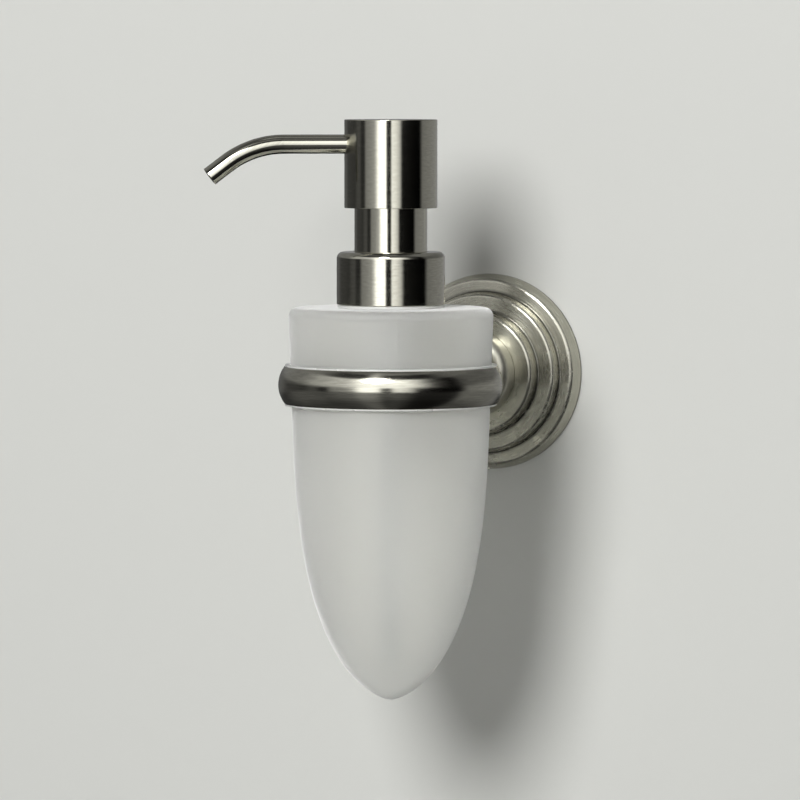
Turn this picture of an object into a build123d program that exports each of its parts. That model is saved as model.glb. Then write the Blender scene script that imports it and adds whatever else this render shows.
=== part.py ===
from build123d import *
import os
from math import cos, radians, sin, sqrt, tan

# Wall mounted soap dispenser, in millimetres.
# A stepped rosette and a turned arm carry a ring, the tapered glass bottle sits in the
# ring's liner, and a pump with a swivelling head and a bent spout is screwed on the bottle.
# The origin is the centre of the rosette's back, on the wall. The arm runs along -Y, +Z is
# up, and the bottle's axis is upright, `standoff` away from the wall.

# ---- general fits ------------------------------------------------------------------------
running_fit = 0.06  # radial play of a piston or stem that slides
turning_fit = 0.05  # radial play of a joint that only turns
screw_fit = 0.05  # radial play of a screw in its tapped hole
cover_fit = 0.3  # radial play of covers that pass over or around another piece
seat_play = 0.15  # radial play between the bottle's cone and its liner
face_play = 0.1  # axial play between faces that turn or slide on each other

# ---- rosette and wall plate --------------------------------------------------------------
standoff = 86.0  # wall to the bottle's axis
rosette_r = 32.5
rosette_band = 1.2  # straight edge beside the wall
first_tier = 5.5  # height of each tier
second_tier = 4.3
third_tier = 4.4
first_taper = 1.6  # how much each tier narrows to its front edge
second_taper = 0.6
third_taper = 0.8
first_ledge = 4.1  # flat ring between two tiers
second_ledge = 5.4
tier_edge = 1.5  # rounding of a tier's front edge
rosette_wall = 1.5
rosette_skirt = 4.2  # thickness of the rim around the wall plate
plate_play = 0.2  # gap between the wall plate and the rosette's inside
plate_groove = 1.3  # depth and half width of the groove for the set screw
plate_chamfer = 0.4
wall_hole_r = 2.25
wall_sink_r = 4.5
wall_hole_spacing = 36.0

set_screw_r = 1.5
set_screw_inset = 0.6  # how far it lies below the rosette's rim
set_screw_cone = 1.2  # length of the cone at its tip
set_screw_socket = 0.8  # inner radius of its hexagon
set_screw_socket_depth = 1.6

bolt_r = 3.0
bolt_head_flats = 10.0
bolt_head_height = 4.0
bolt_reach = 13.0  # thread in the arm
bolt_chamfer = 0.5

# ---- arm ---------------------------------------------------------------------------------
boss_r = 14.3
boss_length = 8.4
boss_edge = 3.4
waist_drop = 4.6  # step from the boss's front edge in to the cove
cove_length = 7.0
stem_r = 6.6
stem_tip_r = 5.3
stem_bead_r = 6.0  # small bead in front of the ring
stem_bead = 2.4
spot_face = 1.7  # depth of the flat in the ring that takes the arm's end
spigot_r = 3.0
blind_play = 1.5  # free length past the end of a screw

# ---- bottle ------------------------------------------------------------------------------
bottle_r = 31.85  # radius at the height of the arm
bottle_taper = 2.0  # degrees, narrowing downwards
shoulder_height = 24.6  # above the arm's axis
shoulder_edge = 3.0  # rounding of the shoulder
cone_drop = 16.0  # the straight cone ends this far below the arm's axis
bullet_length = 84.8
bullet_side = 0.502  # control points of the side's curve, as shares of length and radius
bullet_bulge = (0.783, 0.905)
bullet_nose = 0.136
glass_wall = 3.0
glass_base = 5.0
neck_r = 13.6
neck_wall = 2.8
neck_height = 13.0
neck_edge = 0.6  # chamfers of the neck's mouth

# ---- ring and liner ----------------------------------------------------------------------
ring_height = 12.0
ring_wall = 2.75  # at its thickest
ring_edge_wall = 0.7
liner_wall = 0.9
liner_lip = 0.5
liner_lip_width = 0.6

# ---- collar ------------------------------------------------------------------------------
washer_thickness = 0.9
washer_width = 3.1
collar_r = 17.25
collar_height = 16.8
collar_edge = 2.2
collar_skin = 0.8
collar_roof = 1.0
thread_depth = 0.9  # room for the thread between the neck and the collar
thread_play = 0.2

# ---- pump --------------------------------------------------------------------------------
stroke = 12.0
press_rest = 1.9  # sleeve still in view when the head is pressed down
well_play = 1.0  # room left above the guide and the sleeve when the head is pressed down
gasket_thickness = 1.0
flange_thickness = 1.2
flange_r = 13.3
barrel_bore_r = 6.0
barrel_wall = 1.2
ball_r = 3.175
ball_lift = 1.2
ball_room = 0.4  # radial room around the ball
valve_hole_r = 1.8
socket_wall = 1.2
socket_depth = 10.0
tube_r = 3.0
tube_wall = 0.8
tube_foot_gap = 4.0  # from the bottle's floor to the tube's foot
tube_foot_slant = 35.0

guide_plug = 5.2  # guide's plug in the barrel
guide_flange = 0.8
guide_wall = 1.2
guide_roof = 1.4
sleeve_r = 11.6
sleeve_wall = 0.6

stem_outer_r = 3.5
stem_bore_r = 1.5
piston_height = 8.2
piston_lip = 1.4
piston_waist = 0.8
piston_floor = 2.4  # holds the seat of the outlet valve
outlet_ball_r = 2.0
outlet_lift = 1.0
outlet_room = 0.3  # radial room around the ball
outlet_hole_r = 1.1
outlet_slot = 0.8  # slots that pass the soap around the lifted ball
outlet_slot_depth = 1.2
spring_mean_r = 3.6
spring_wire_r = 0.45
spring_turns = 6.0
spring_pressed = 9.1  # length of the spring at the end of the stroke

# ---- head --------------------------------------------------------------------------------
head_r = 14.8
head_height = 28.1
head_skin = 0.8
head_roof = 1.0
head_edge = 0.3  # chamfer of the top edge
insert_inset = 0.8  # the insert ends this far inside the shell
insert_block = 11.2  # solid upper part of the insert
insert_hub_wall = 2.0
insert_hub = 6.0  # hub below the block
stem_socket = 4.4  # from the stem's top to the spout's axis

spout_drop = 7.8  # spout's axis below the top of the head
spout_r = 3.05
spout_bore_r = 2.45
spout_reach = 34.2  # bottle's axis to the start of the bend
spout_bend_r = 30.0
spout_bend = 37.0
spout_tip = 7.0
spout_turn = 210.0  # heading of the spout around +Z, from +X
spout_root = 4.6  # inner end of the spout, from the bottle's axis

# ---- places that follow from the sizes ---------------------------------------------------
bottle_axis = Axis((0, -standoff, 0), (0, 0, 1))
wall_axis = Axis((0, 0, 0), (0, -1, 0))
# local x runs away from the wall, local y is the radius around the arm
wall_profile = Plane(origin=(0, 0, 0), x_dir=(0, -1, 0), z_dir=(-1, 0, 0))
# local x is the radius around the bottle's axis, local y is the height
bottle_profile = Plane(origin=(0, -standoff, 0), x_dir=(1, 0, 0), z_dir=(0, -1, 0))

first_front = first_tier
second_front = first_front + second_tier
third_front = second_front + third_tier
first_edge_r = rosette_r - first_taper
second_r = first_edge_r - first_ledge
second_edge_r = second_r - second_taper
third_r = second_edge_r - second_ledge
third_edge_r = third_r - third_taper
plate_room_r = rosette_r - rosette_skirt
plate_r = plate_room_r - cover_fit
plate_thickness = first_front - rosette_wall - plate_play
set_screw_depth = plate_thickness / 2

bolt_seat = third_front - rosette_wall
bolt_end = third_front + bolt_reach
boss_front = third_front + boss_length

taper = tan(radians(bottle_taper))
ring_half = ring_height / 2
liner_half = ring_half + liner_lip
liner_r = bottle_r + taper * liner_half + seat_play + liner_wall
ring_r = liner_r + ring_wall
ring_edge_r = liner_r + ring_edge_wall
arm_end = standoff - ring_r + spot_face
spigot_end = standoff - liner_r - face_play

neck_bore_r = neck_r - neck_wall
neck_top = shoulder_height + neck_height
washer_top = shoulder_height + washer_thickness
washer_r = neck_r + cover_fit + washer_width
collar_bottom = washer_top + face_play
collar_top = collar_bottom + collar_height
flange_bottom = neck_top + gasket_thickness
flange_top = flange_bottom + flange_thickness
barrel_r = barrel_bore_r + barrel_wall
guide_bottom = flange_top - guide_plug
piston_top = guide_bottom - face_play
piston_bottom = piston_top - piston_height
piston_r = barrel_bore_r - running_fit
ledge = piston_bottom - stroke - spring_pressed
spring_length = stroke + spring_pressed
stem_bottom = piston_bottom + piston_floor

ball_room_r = ball_r + ball_room
ball_centre = ledge - ball_r - ball_lift
seat_height = ball_centre - ball_r * sin(radians(45)) - running_fit
seat_r = ball_r * cos(radians(45))
cone_top = seat_height + (ball_room_r - seat_r)
cone_bottom = seat_height - (seat_r - valve_hole_r)
socket_top = cone_bottom - socket_wall
socket_bottom = socket_top - socket_depth
socket_r = tube_r + socket_wall

outlet_room_r = outlet_ball_r + outlet_room
outlet_seat_r = outlet_ball_r * cos(radians(45))
outlet_seat_height = stem_bottom - (outlet_room_r - outlet_seat_r)
outlet_centre = outlet_seat_height + outlet_ball_r * sin(radians(45)) + running_fit
outlet_rim = sqrt(outlet_ball_r**2 - stem_bore_r**2)  # from the ball's centre to its stop
outlet_ledge = outlet_centre + outlet_rim + outlet_lift + running_fit

bottle_floor = -cone_drop - bullet_length + glass_base
tube_foot = bottle_floor + tube_foot_gap

head_bottom = collar_top + stroke + press_rest
head_top = head_bottom + head_height
head_bore_r = head_r - head_skin
insert_bottom = head_bottom + insert_inset
insert_top = head_top - head_roof
block_bottom = insert_top - insert_block
spout_height = head_top - spout_drop
stem_top = spout_height - stem_socket
hub_bottom = block_bottom - insert_hub
hub_r = stem_outer_r + turning_fit + insert_hub_wall
skirt_bore_r = sleeve_r + cover_fit

sleeve_bottom = flange_top + guide_flange
sleeve_top = block_bottom - stroke - well_play
sleeve_bore_r = sleeve_r - sleeve_wall
collar_hole_r = sleeve_r + cover_fit
guide_bore_r = stem_outer_r + running_fit
guide_top = sleeve_top - sleeve_wall
guide_roof_top = hub_bottom - stroke - well_play

spout_heading = (cos(radians(spout_turn)), sin(radians(spout_turn)), 0)
spout_plane = Plane(
    origin=(0, -standoff, spout_height),
    x_dir=spout_heading,
    z_dir=(spout_heading[1], -spout_heading[0], 0),
)


def bullet(radius, length):
    """Control points of the bottle's lower curve, from the end of the cone to the tip."""
    cone = (radius, -cone_drop)
    side = (radius - taper * bullet_side * length, -cone_drop - bullet_side * length)
    bulge = (bullet_bulge[0] * radius, -cone_drop - bullet_bulge[1] * length)
    nose = (bullet_nose * radius, -cone_drop - length)
    return [cone, side, bulge, nose, (0, -cone_drop - length)]


def bottle_radius(height):
    """Outer radius of the bottle's cone at a height."""
    return bottle_r + taper * height


# ---- wall holder -------------------------------------------------------------------------
# round plate with two countersunk holes; the groove in its edge takes the set screw
with BuildPart() as wall_plate:
    with BuildSketch(wall_profile):
        with BuildLine():
            Polyline(
                (0, 0),
                (0, plate_r - plate_chamfer),
                (plate_chamfer, plate_r),
                (set_screw_depth - plate_groove, plate_r),
                (set_screw_depth, plate_r - plate_groove),
                (set_screw_depth + plate_groove, plate_r),
                (plate_thickness - plate_chamfer, plate_r),
                (plate_thickness, plate_r - plate_chamfer),
                (plate_thickness, 0),
                close=True,
            )
        make_face()
    revolve(axis=wall_axis)
    with Locations(Plane(origin=(0, -plate_thickness, 0), x_dir=(1, 0, 0), z_dir=(0, -1, 0))):
        with GridLocations(wall_hole_spacing, 0, 2, 1):
            CounterSinkHole(wall_hole_r, wall_sink_r, plate_thickness, counter_sink_angle=90)

# stepped cover with three rounded tiers, hollow behind, with a hole for the arm's bolt
with BuildPart() as rosette:
    with BuildSketch(wall_profile):
        with BuildLine():
            FilletPolyline(
                (0, rosette_r),
                (rosette_band, rosette_r),
                (first_front, first_edge_r),
                (first_front, second_r),
                (second_front, second_edge_r),
                (second_front, third_r),
                (third_front, third_edge_r),
                (third_front, bolt_r + cover_fit),
                radius=[3 * tier_edge, tier_edge, 0, tier_edge, 0, tier_edge],
            )
            Polyline(
                (third_front, bolt_r + cover_fit),
                (bolt_seat, bolt_r + cover_fit),
                (bolt_seat, third_edge_r - rosette_wall),
                (second_front - rosette_wall, third_edge_r - rosette_wall),
                (second_front - rosette_wall, second_edge_r - rosette_wall),
                (first_front - rosette_wall, second_edge_r - rosette_wall),
                (first_front - rosette_wall, plate_room_r),
                (0, plate_room_r),
                (0, rosette_r),
            )
        make_face()
    revolve(axis=wall_axis)
    with BuildSketch(Plane(origin=(0, -set_screw_depth, -rosette_r), z_dir=(0, 0, 1))):
        Circle(set_screw_r + screw_fit)
    extrude(amount=rosette_skirt + cover_fit, mode=Mode.SUBTRACT)

# grub screw from below, with a cone that sits in the plate's groove
set_screw_foot = rosette_r - set_screw_inset
set_screw_tip = plate_r - plate_groove + set_screw_r - set_screw_cone + face_play
with BuildPart() as rosette_set_screw:
    with BuildSketch(Plane(origin=(0, -set_screw_depth, -set_screw_foot), z_dir=(0, 0, 1))):
        Circle(set_screw_r)
    extrude(amount=set_screw_foot - set_screw_tip)
    chamfer(edges().group_by(Axis.Z)[-1], length=set_screw_cone)
    with BuildSketch(Plane(origin=(0, -set_screw_depth, -set_screw_foot), z_dir=(0, 0, 1))):
        RegularPolygon(set_screw_socket, 6, major_radius=False)
    extrude(amount=set_screw_socket_depth, mode=Mode.SUBTRACT)

# hexagon bolt inside the rosette, screwed into the arm
with BuildPart() as arm_bolt:
    with BuildSketch(Plane(origin=(0, -bolt_seat, 0), x_dir=(1, 0, 0), z_dir=(0, 1, 0))):
        RegularPolygon(bolt_head_flats / 2, 6, major_radius=False)
    extrude(amount=bolt_head_height)
    with BuildSketch(Plane(origin=(0, -bolt_seat, 0), x_dir=(1, 0, 0), z_dir=(0, -1, 0))):
        Circle(bolt_r)
    extrude(amount=bolt_end - bolt_seat)
    chamfer(edges().group_by(Axis.Y)[0], length=bolt_chamfer)

# turned arm: domed boss on the rosette, a cove down to the stem, a bead and a spigot
cove_end = boss_front + cove_length
bead_end = standoff - ring_r - face_play
bead_start = bead_end - stem_bead
with BuildPart() as arm:
    with BuildSketch(wall_profile):
        with BuildLine():
            FilletPolyline(
                (third_front, 0),
                (third_front, boss_r),
                (boss_front, boss_r),
                (boss_front, boss_r - waist_drop),
                radius=[0, boss_edge],
            )
            Spline(
                (boss_front, boss_r - waist_drop),
                (cove_end, stem_r),
                (bead_start, stem_tip_r),
                tangents=[(1, -1), (1, -0.05)],
            )
            ThreePointArc(
                (bead_start, stem_tip_r),
                (bead_start + stem_bead / 2, stem_bead_r),
                (bead_end, stem_tip_r),
            )
            Polyline(
                (bead_end, stem_tip_r),
                (arm_end, stem_tip_r),
                (arm_end, spigot_r),
                (spigot_end, spigot_r),
                (spigot_end, 0),
                (third_front, 0),
            )
        make_face()
    revolve(axis=wall_axis)
    with BuildSketch(Plane(origin=(0, -third_front, 0), x_dir=(1, 0, 0), z_dir=(0, -1, 0))):
        Circle(bolt_r + screw_fit)
    extrude(amount=bolt_reach + blind_play, mode=Mode.SUBTRACT)

# ring with a crowned outside, spot faced and drilled for the arm
with BuildPart() as holder_ring:
    with BuildSketch(bottle_profile):
        with BuildLine():
            ThreePointArc((ring_edge_r, -ring_half), (ring_r, 0), (ring_edge_r, ring_half))
            Polyline(
                (ring_edge_r, ring_half),
                (liner_r, ring_half),
                (liner_r, -ring_half),
                (ring_edge_r, -ring_half),
            )
        make_face()
    revolve(axis=bottle_axis)
    with BuildSketch(Plane(origin=(0, -arm_end, 0), x_dir=(1, 0, 0), z_dir=(0, 1, 0))):
        Circle(stem_tip_r)
    extrude(amount=ring_wall, mode=Mode.SUBTRACT)
    with BuildSketch(Plane(origin=(0, -arm_end, 0), x_dir=(1, 0, 0), z_dir=(0, -1, 0))):
        Circle(spigot_r + screw_fit)
    extrude(amount=2 * ring_wall, mode=Mode.SUBTRACT)

# plastic liner, tapered inside like the bottle, with a lip over each edge of the ring
with BuildPart() as ring_liner:
    with BuildSketch(bottle_profile):
        with BuildLine():
            Polyline(
                (bottle_radius(-liner_half) + seat_play, -liner_half),
                (liner_r + liner_lip_width, -liner_half),
                (liner_r + liner_lip_width, -ring_half),
                (liner_r, -ring_half),
                (liner_r, ring_half),
                (liner_r + liner_lip_width, ring_half),
                (liner_r + liner_lip_width, liner_half),
                (bottle_radius(liner_half) + seat_play, liner_half),
                close=True,
            )
        make_face()
    revolve(axis=bottle_axis)

# ---- bottle ------------------------------------------------------------------------------
cone_end_r = bottle_radius(-cone_drop)
shoulder_r = bottle_radius(shoulder_height)
inner_shoulder = shoulder_height - glass_wall
with BuildPart() as glass_bottle:
    with BuildSketch(bottle_profile):
        with BuildLine():
            Bezier(*bullet(cone_end_r, bullet_length))
            FilletPolyline(
                (cone_end_r, -cone_drop),
                (shoulder_r, shoulder_height),
                (neck_r, shoulder_height),
                radius=shoulder_edge,
            )
            Polyline(
                (neck_r, shoulder_height),
                (neck_r, neck_top - neck_edge),
                (neck_r - neck_edge, neck_top),
                (neck_bore_r + neck_edge, neck_top),
                (neck_bore_r, neck_top - neck_edge),
                (neck_bore_r, inner_shoulder),
                (bottle_radius(inner_shoulder) - glass_wall, inner_shoulder),
                (cone_end_r - glass_wall, -cone_drop),
            )
            Bezier(*bullet(cone_end_r - glass_wall, bullet_length - glass_base))
            Line(
                (0, -cone_drop - bullet_length + glass_base),
                (0, -cone_drop - bullet_length),
            )
        make_face()
    revolve(axis=bottle_axis)

with BuildPart() as neck_washer:
    with BuildSketch(Plane(origin=(0, -standoff, shoulder_height))):
        Circle(washer_r)
        Circle(neck_r + cover_fit, mode=Mode.SUBTRACT)
    extrude(amount=washer_thickness)

# ---- collar ------------------------------------------------------------------------------
collar_bore_r = collar_r - collar_skin
collar_ceiling = collar_top - collar_roof
with BuildPart() as collar_shell:
    with BuildSketch(bottle_profile):
        with BuildLine():
            FilletPolyline(
                (collar_bore_r, collar_bottom),
                (collar_r, collar_bottom),
                (collar_r, collar_top),
                (collar_hole_r, collar_top),
                (collar_hole_r, collar_ceiling),
                (collar_bore_r, collar_ceiling),
                radius=[0, collar_edge, 0, 0],
            )
            Line((collar_bore_r, collar_ceiling), (collar_bore_r, collar_bottom))
        make_face()
    revolve(axis=bottle_axis)

# threaded plastic inside of the collar; its web presses the pump's flange on the gasket
collar_edge_inside = collar_edge - collar_skin
thread_room_r = neck_r + thread_depth + thread_play
with BuildPart() as collar_insert:
    with BuildSketch(bottle_profile):
        with BuildLine():
            Polyline(
                (thread_room_r, collar_bottom + face_play),
                (collar_bore_r, collar_bottom + face_play),
                (collar_bore_r, collar_ceiling - collar_edge_inside),
                (collar_bore_r - collar_edge_inside, collar_ceiling),
                (collar_hole_r, collar_ceiling),
                (collar_hole_r, flange_top + face_play),
                (thread_room_r, flange_top + face_play),
                close=True,
            )
        make_face()
    revolve(axis=bottle_axis)

# ---- pump --------------------------------------------------------------------------------
with BuildPart() as pump_gasket:
    with BuildSketch(Plane(origin=(0, -standoff, neck_top))):
        Circle(flange_r)
        Circle(neck_bore_r, mode=Mode.SUBTRACT)
    extrude(amount=gasket_thickness)

# barrel with its flange, the spring's ledge, the ball's chamber and seat, and the socket
with BuildPart() as pump_housing:
    with BuildSketch(bottle_profile):
        with BuildLine():
            Polyline(
                (barrel_bore_r, flange_top),
                (flange_r, flange_top),
                (flange_r, flange_bottom),
                (barrel_r, flange_bottom),
                (barrel_r, ledge),
                (ball_room_r + barrel_wall, ledge - barrel_wall),
                (ball_room_r + barrel_wall, cone_bottom),
                (socket_r, socket_top),
                (socket_r, socket_bottom),
                (tube_r, socket_bottom),
                (tube_r, socket_top),
                (valve_hole_r, socket_top),
                (valve_hole_r, cone_bottom),
                (ball_room_r, cone_top),
                (ball_room_r, ledge),
                (barrel_bore_r, ledge),
                close=True,
            )
        make_face()
    revolve(axis=bottle_axis)

# guide for the stem: plug in the barrel, flange under the sleeve, drum inside the sleeve
# with a sunk roof that leaves a well for the head's hub
drum_bore_r = sleeve_bore_r - guide_wall
with BuildPart() as stem_guide:
    with BuildSketch(bottle_profile):
        with BuildLine():
            Polyline(
                (guide_bore_r, guide_bottom),
                (barrel_bore_r, guide_bottom),
                (barrel_bore_r, guide_roof_top - guide_roof),
                (drum_bore_r, guide_roof_top - guide_roof),
                (drum_bore_r, flange_top),
                (sleeve_r, flange_top),
                (sleeve_r, sleeve_bottom),
                (sleeve_bore_r, sleeve_bottom),
                (sleeve_bore_r, guide_top),
                (drum_bore_r, guide_top),
                (drum_bore_r, guide_roof_top),
                (guide_bore_r, guide_roof_top),
                close=True,
            )
        make_face()
    revolve(axis=bottle_axis)

with BuildPart() as neck_sleeve:
    with BuildSketch(Plane(origin=(0, -standoff, sleeve_bottom))):
        Circle(sleeve_r)
        Circle(sleeve_bore_r, mode=Mode.SUBTRACT)
    extrude(amount=sleeve_top - sleeve_bottom)

with BuildPart() as check_ball:
    with BuildSketch(bottle_profile):
        with Locations((0, ball_centre)):
            Circle(ball_r)
            Rectangle(ball_r, 2 * ball_r, align=(Align.MAX, Align.CENTER), mode=Mode.SUBTRACT)
    revolve(axis=bottle_axis)

coil_length = spring_length - 2 * spring_wire_r
coil_start = Vector(0, -standoff, ledge + spring_wire_r)
with BuildPart() as return_spring:
    with BuildLine() as coil:
        Helix(coil_length / spring_turns, coil_length, spring_mean_r, center=coil_start)
    with BuildSketch(Plane(origin=coil.line @ 0, z_dir=coil.line % 0)):
        RegularPolygon(spring_wire_r, 6)
    sweep(is_frenet=True)

# soft piston with a sealing lip at each end; its floor has the seat of the outlet valve
lip_high = piston_top - piston_lip
lip_low = piston_bottom + piston_lip
with BuildPart() as piston:
    with BuildSketch(bottle_profile):
        with BuildLine():
            Polyline(
                (outlet_hole_r, piston_bottom),
                (piston_r, piston_bottom),
                (piston_r, lip_low),
                (piston_r - piston_waist, lip_low + piston_waist),
                (piston_r - piston_waist, lip_high - piston_waist),
                (piston_r, lip_high),
                (piston_r, piston_top),
                (stem_outer_r, piston_top),
                (stem_outer_r, stem_bottom),
                (outlet_room_r, stem_bottom),
                (outlet_hole_r, stem_bottom - (outlet_room_r - outlet_hole_r)),
                close=True,
            )
        make_face()
    revolve(axis=bottle_axis)

# hollow stem; its foot is the room of the outlet ball, with two crossed slots above it
with BuildPart() as piston_stem:
    with BuildSketch(Plane(origin=(0, -standoff, stem_bottom))):
        Circle(stem_outer_r)
        Circle(stem_bore_r, mode=Mode.SUBTRACT)
    extrude(amount=stem_top - stem_bottom)
    with BuildSketch(Plane(origin=(0, -standoff, stem_bottom))):
        Circle(outlet_room_r)
    extrude(amount=outlet_ledge - stem_bottom, mode=Mode.SUBTRACT)
    with BuildSketch(Plane(origin=(0, -standoff, outlet_ledge))):
        Rectangle(2 * outlet_room_r, outlet_slot)
        Rectangle(outlet_slot, 2 * outlet_room_r)
    extrude(amount=outlet_slot_depth, mode=Mode.SUBTRACT)

with BuildPart() as outlet_ball:
    with BuildSketch(bottle_profile):
        with Locations((0, outlet_centre)):
            Circle(outlet_ball_r)
            Rectangle(
                outlet_ball_r,
                2 * outlet_ball_r,
                align=(Align.MAX, Align.CENTER),
                mode=Mode.SUBTRACT,
            )
    revolve(axis=bottle_axis)

# suction tube, its foot cut at a slant so that it can't seal on the bottle's floor
foot_rise = tube_r * tan(radians(tube_foot_slant))
with BuildPart() as dip_tube:
    with BuildSketch(Plane(origin=(0, -standoff, tube_foot))):
        Circle(tube_r)
        Circle(tube_r - tube_wall, mode=Mode.SUBTRACT)
    extrude(amount=socket_top - tube_foot)
    foot_cut = Plane(origin=(0, -standoff, tube_foot + foot_rise)).rotated((tube_foot_slant, 0, 0))
    split(bisect_by=foot_cut, keep=Keep.TOP)

# ---- head --------------------------------------------------------------------------------
with BuildPart() as head_shell:
    with BuildSketch(bottle_profile):
        with BuildLine():
            Polyline(
                (head_bore_r, head_bottom),
                (head_r, head_bottom),
                (head_r, head_top - head_edge),
                (head_r - head_edge, head_top),
                (0, head_top),
                (0, insert_top),
                (head_bore_r, insert_top),
                close=True,
            )
        make_face()
    revolve(axis=bottle_axis)
    with BuildSketch(Plane(spout_plane.origin, z_dir=spout_heading)):
        Circle(spout_r)
    extrude(amount=head_r + spout_r, mode=Mode.SUBTRACT)

# plastic inside of the head: skirt around the sleeve, block with the channel, hub
with BuildPart() as head_insert:
    with BuildSketch(bottle_profile):
        with BuildLine():
            Polyline(
                (skirt_bore_r, insert_bottom),
                (head_bore_r, insert_bottom),
                (head_bore_r, insert_top),
                (0, insert_top),
                (0, spout_height),
                (spout_bore_r, spout_height),
                (spout_bore_r, stem_top),
                (stem_outer_r + turning_fit, stem_top),
                (stem_outer_r + turning_fit, hub_bottom),
                (hub_r, hub_bottom),
                (hub_r, block_bottom),
                (skirt_bore_r, block_bottom),
                close=True,
            )
        make_face()
    revolve(axis=bottle_axis)
    with BuildSketch(Plane(spout_plane.origin, z_dir=spout_heading)):
        Circle(spout_bore_r)
    extrude(amount=head_r, mode=Mode.SUBTRACT)
    with BuildSketch(Plane(spout_plane.origin, z_dir=spout_heading).offset(spout_root)):
        Circle(spout_r)
    extrude(amount=head_r, mode=Mode.SUBTRACT)

# bent tube: a straight run, one bend down and a short straight tip, cut square
bend_run = spout_bend_r * tan(radians(spout_bend / 2))
bend_corner = spout_reach + bend_run
tip_run = bend_run + spout_tip
tip_end = (
    bend_corner + tip_run * cos(radians(spout_bend)),
    -tip_run * sin(radians(spout_bend)),
)
with BuildPart() as spout_tube:
    with BuildLine(spout_plane) as spout_path:
        FilletPolyline((spout_root, 0), (bend_corner, 0), tip_end, radius=spout_bend_r)
    with BuildSketch(Plane(origin=spout_path.line @ 0, z_dir=spout_heading)):
        Circle(spout_r)
        Circle(spout_bore_r, mode=Mode.SUBTRACT)
    sweep()

# ---- export ------------------------------------------------------------------------------
os.makedirs("parts", exist_ok=True)

wall_plate.part.label = "wall_plate"
rosette.part.label = "rosette"
rosette_set_screw.part.label = "rosette_set_screw"
arm.part.label = "arm"
arm_bolt.part.label = "arm_bolt"
holder_ring.part.label = "holder_ring"
ring_liner.part.label = "ring_liner"
glass_bottle.part.label = "glass_bottle"
neck_washer.part.label = "neck_washer"
collar_shell.part.label = "collar_shell"
collar_insert.part.label = "collar_insert"
pump_gasket.part.label = "pump_gasket"
pump_housing.part.label = "pump_housing"
stem_guide.part.label = "stem_guide"
neck_sleeve.part.label = "neck_sleeve"
check_ball.part.label = "check_ball"
return_spring.part.label = "return_spring"
piston.part.label = "piston"
piston_stem.part.label = "piston_stem"
outlet_ball.part.label = "outlet_ball"
dip_tube.part.label = "dip_tube"
head_shell.part.label = "head_shell"
head_insert.part.label = "head_insert"
spout_tube.part.label = "spout_tube"

export_step(wall_plate.part, "parts/wall_plate.step")
export_step(rosette.part, "parts/rosette.step")
export_step(rosette_set_screw.part, "parts/rosette_set_screw.step")
export_step(arm.part, "parts/arm.step")
export_step(arm_bolt.part, "parts/arm_bolt.step")
export_step(holder_ring.part, "parts/holder_ring.step")
export_step(ring_liner.part, "parts/ring_liner.step")
export_step(glass_bottle.part, "parts/glass_bottle.step")
export_step(neck_washer.part, "parts/neck_washer.step")
export_step(collar_shell.part, "parts/collar_shell.step")
export_step(collar_insert.part, "parts/collar_insert.step")
export_step(pump_gasket.part, "parts/pump_gasket.step")
export_step(pump_housing.part, "parts/pump_housing.step")
export_step(stem_guide.part, "parts/stem_guide.step")
export_step(neck_sleeve.part, "parts/neck_sleeve.step")
export_step(check_ball.part, "parts/check_ball.step")
export_step(return_spring.part, "parts/return_spring.step")
export_step(piston.part, "parts/piston.step")
export_step(piston_stem.part, "parts/piston_stem.step")
export_step(outlet_ball.part, "parts/outlet_ball.step")
export_step(dip_tube.part, "parts/dip_tube.step")
export_step(head_shell.part, "parts/head_shell.step")
export_step(head_insert.part, "parts/head_insert.step")
export_step(spout_tube.part, "parts/spout_tube.step")
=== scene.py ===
import math

import bmesh
import bpy
from mathutils import Matrix, Vector, geometry


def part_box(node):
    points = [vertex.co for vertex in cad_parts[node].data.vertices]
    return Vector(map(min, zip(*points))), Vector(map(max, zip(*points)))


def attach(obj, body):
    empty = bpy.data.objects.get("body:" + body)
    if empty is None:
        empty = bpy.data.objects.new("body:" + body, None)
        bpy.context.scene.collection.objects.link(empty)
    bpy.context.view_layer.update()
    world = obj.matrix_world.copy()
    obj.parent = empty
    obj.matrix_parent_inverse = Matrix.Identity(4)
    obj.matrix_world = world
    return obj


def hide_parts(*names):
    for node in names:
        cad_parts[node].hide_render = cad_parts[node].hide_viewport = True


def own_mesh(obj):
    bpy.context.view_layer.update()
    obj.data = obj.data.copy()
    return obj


bl_info = {
    "name": "Wall mounted soap dispenser",
    "version": (1, 0, 0),
    "blender": (4, 5, 0),
    "location": "3D View > Sidebar > Dispenser",
    "description": "Dresses the frame of a wall mounted soap dispenser and sets its studio",
    "category": "Object",
}

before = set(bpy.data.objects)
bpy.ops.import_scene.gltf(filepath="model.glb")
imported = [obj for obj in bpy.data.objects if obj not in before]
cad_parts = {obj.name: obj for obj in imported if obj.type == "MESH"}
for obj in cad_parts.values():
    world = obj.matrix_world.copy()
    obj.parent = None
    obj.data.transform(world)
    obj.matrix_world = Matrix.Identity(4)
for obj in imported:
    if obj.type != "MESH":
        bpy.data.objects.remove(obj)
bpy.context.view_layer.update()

MM = 0.001
HEAD_LOW, HEAD_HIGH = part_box("head_shell")
BOTTLE_Y = (HEAD_LOW[1] + HEAD_HIGH[1]) / 2
STEPS = 160  # faces around a turned piece
FINE_STEPS = 224  # the same for the widest pieces
WELD = 1e-7  # vertices that are closer than this are one
ON_RING = 1e-6  # how far a vertex may be from the ring that it is looked for on
SHARP_ANGLE = math.radians(35.0)

# heights that several pieces share, in millimetres: the rosette's front from the wall, and the
# lower end of the bottle's cone and its shoulder from the arm's axis
FACE = 14.2
CONE_END = -16.0
SHOULDER = 24.6

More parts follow.
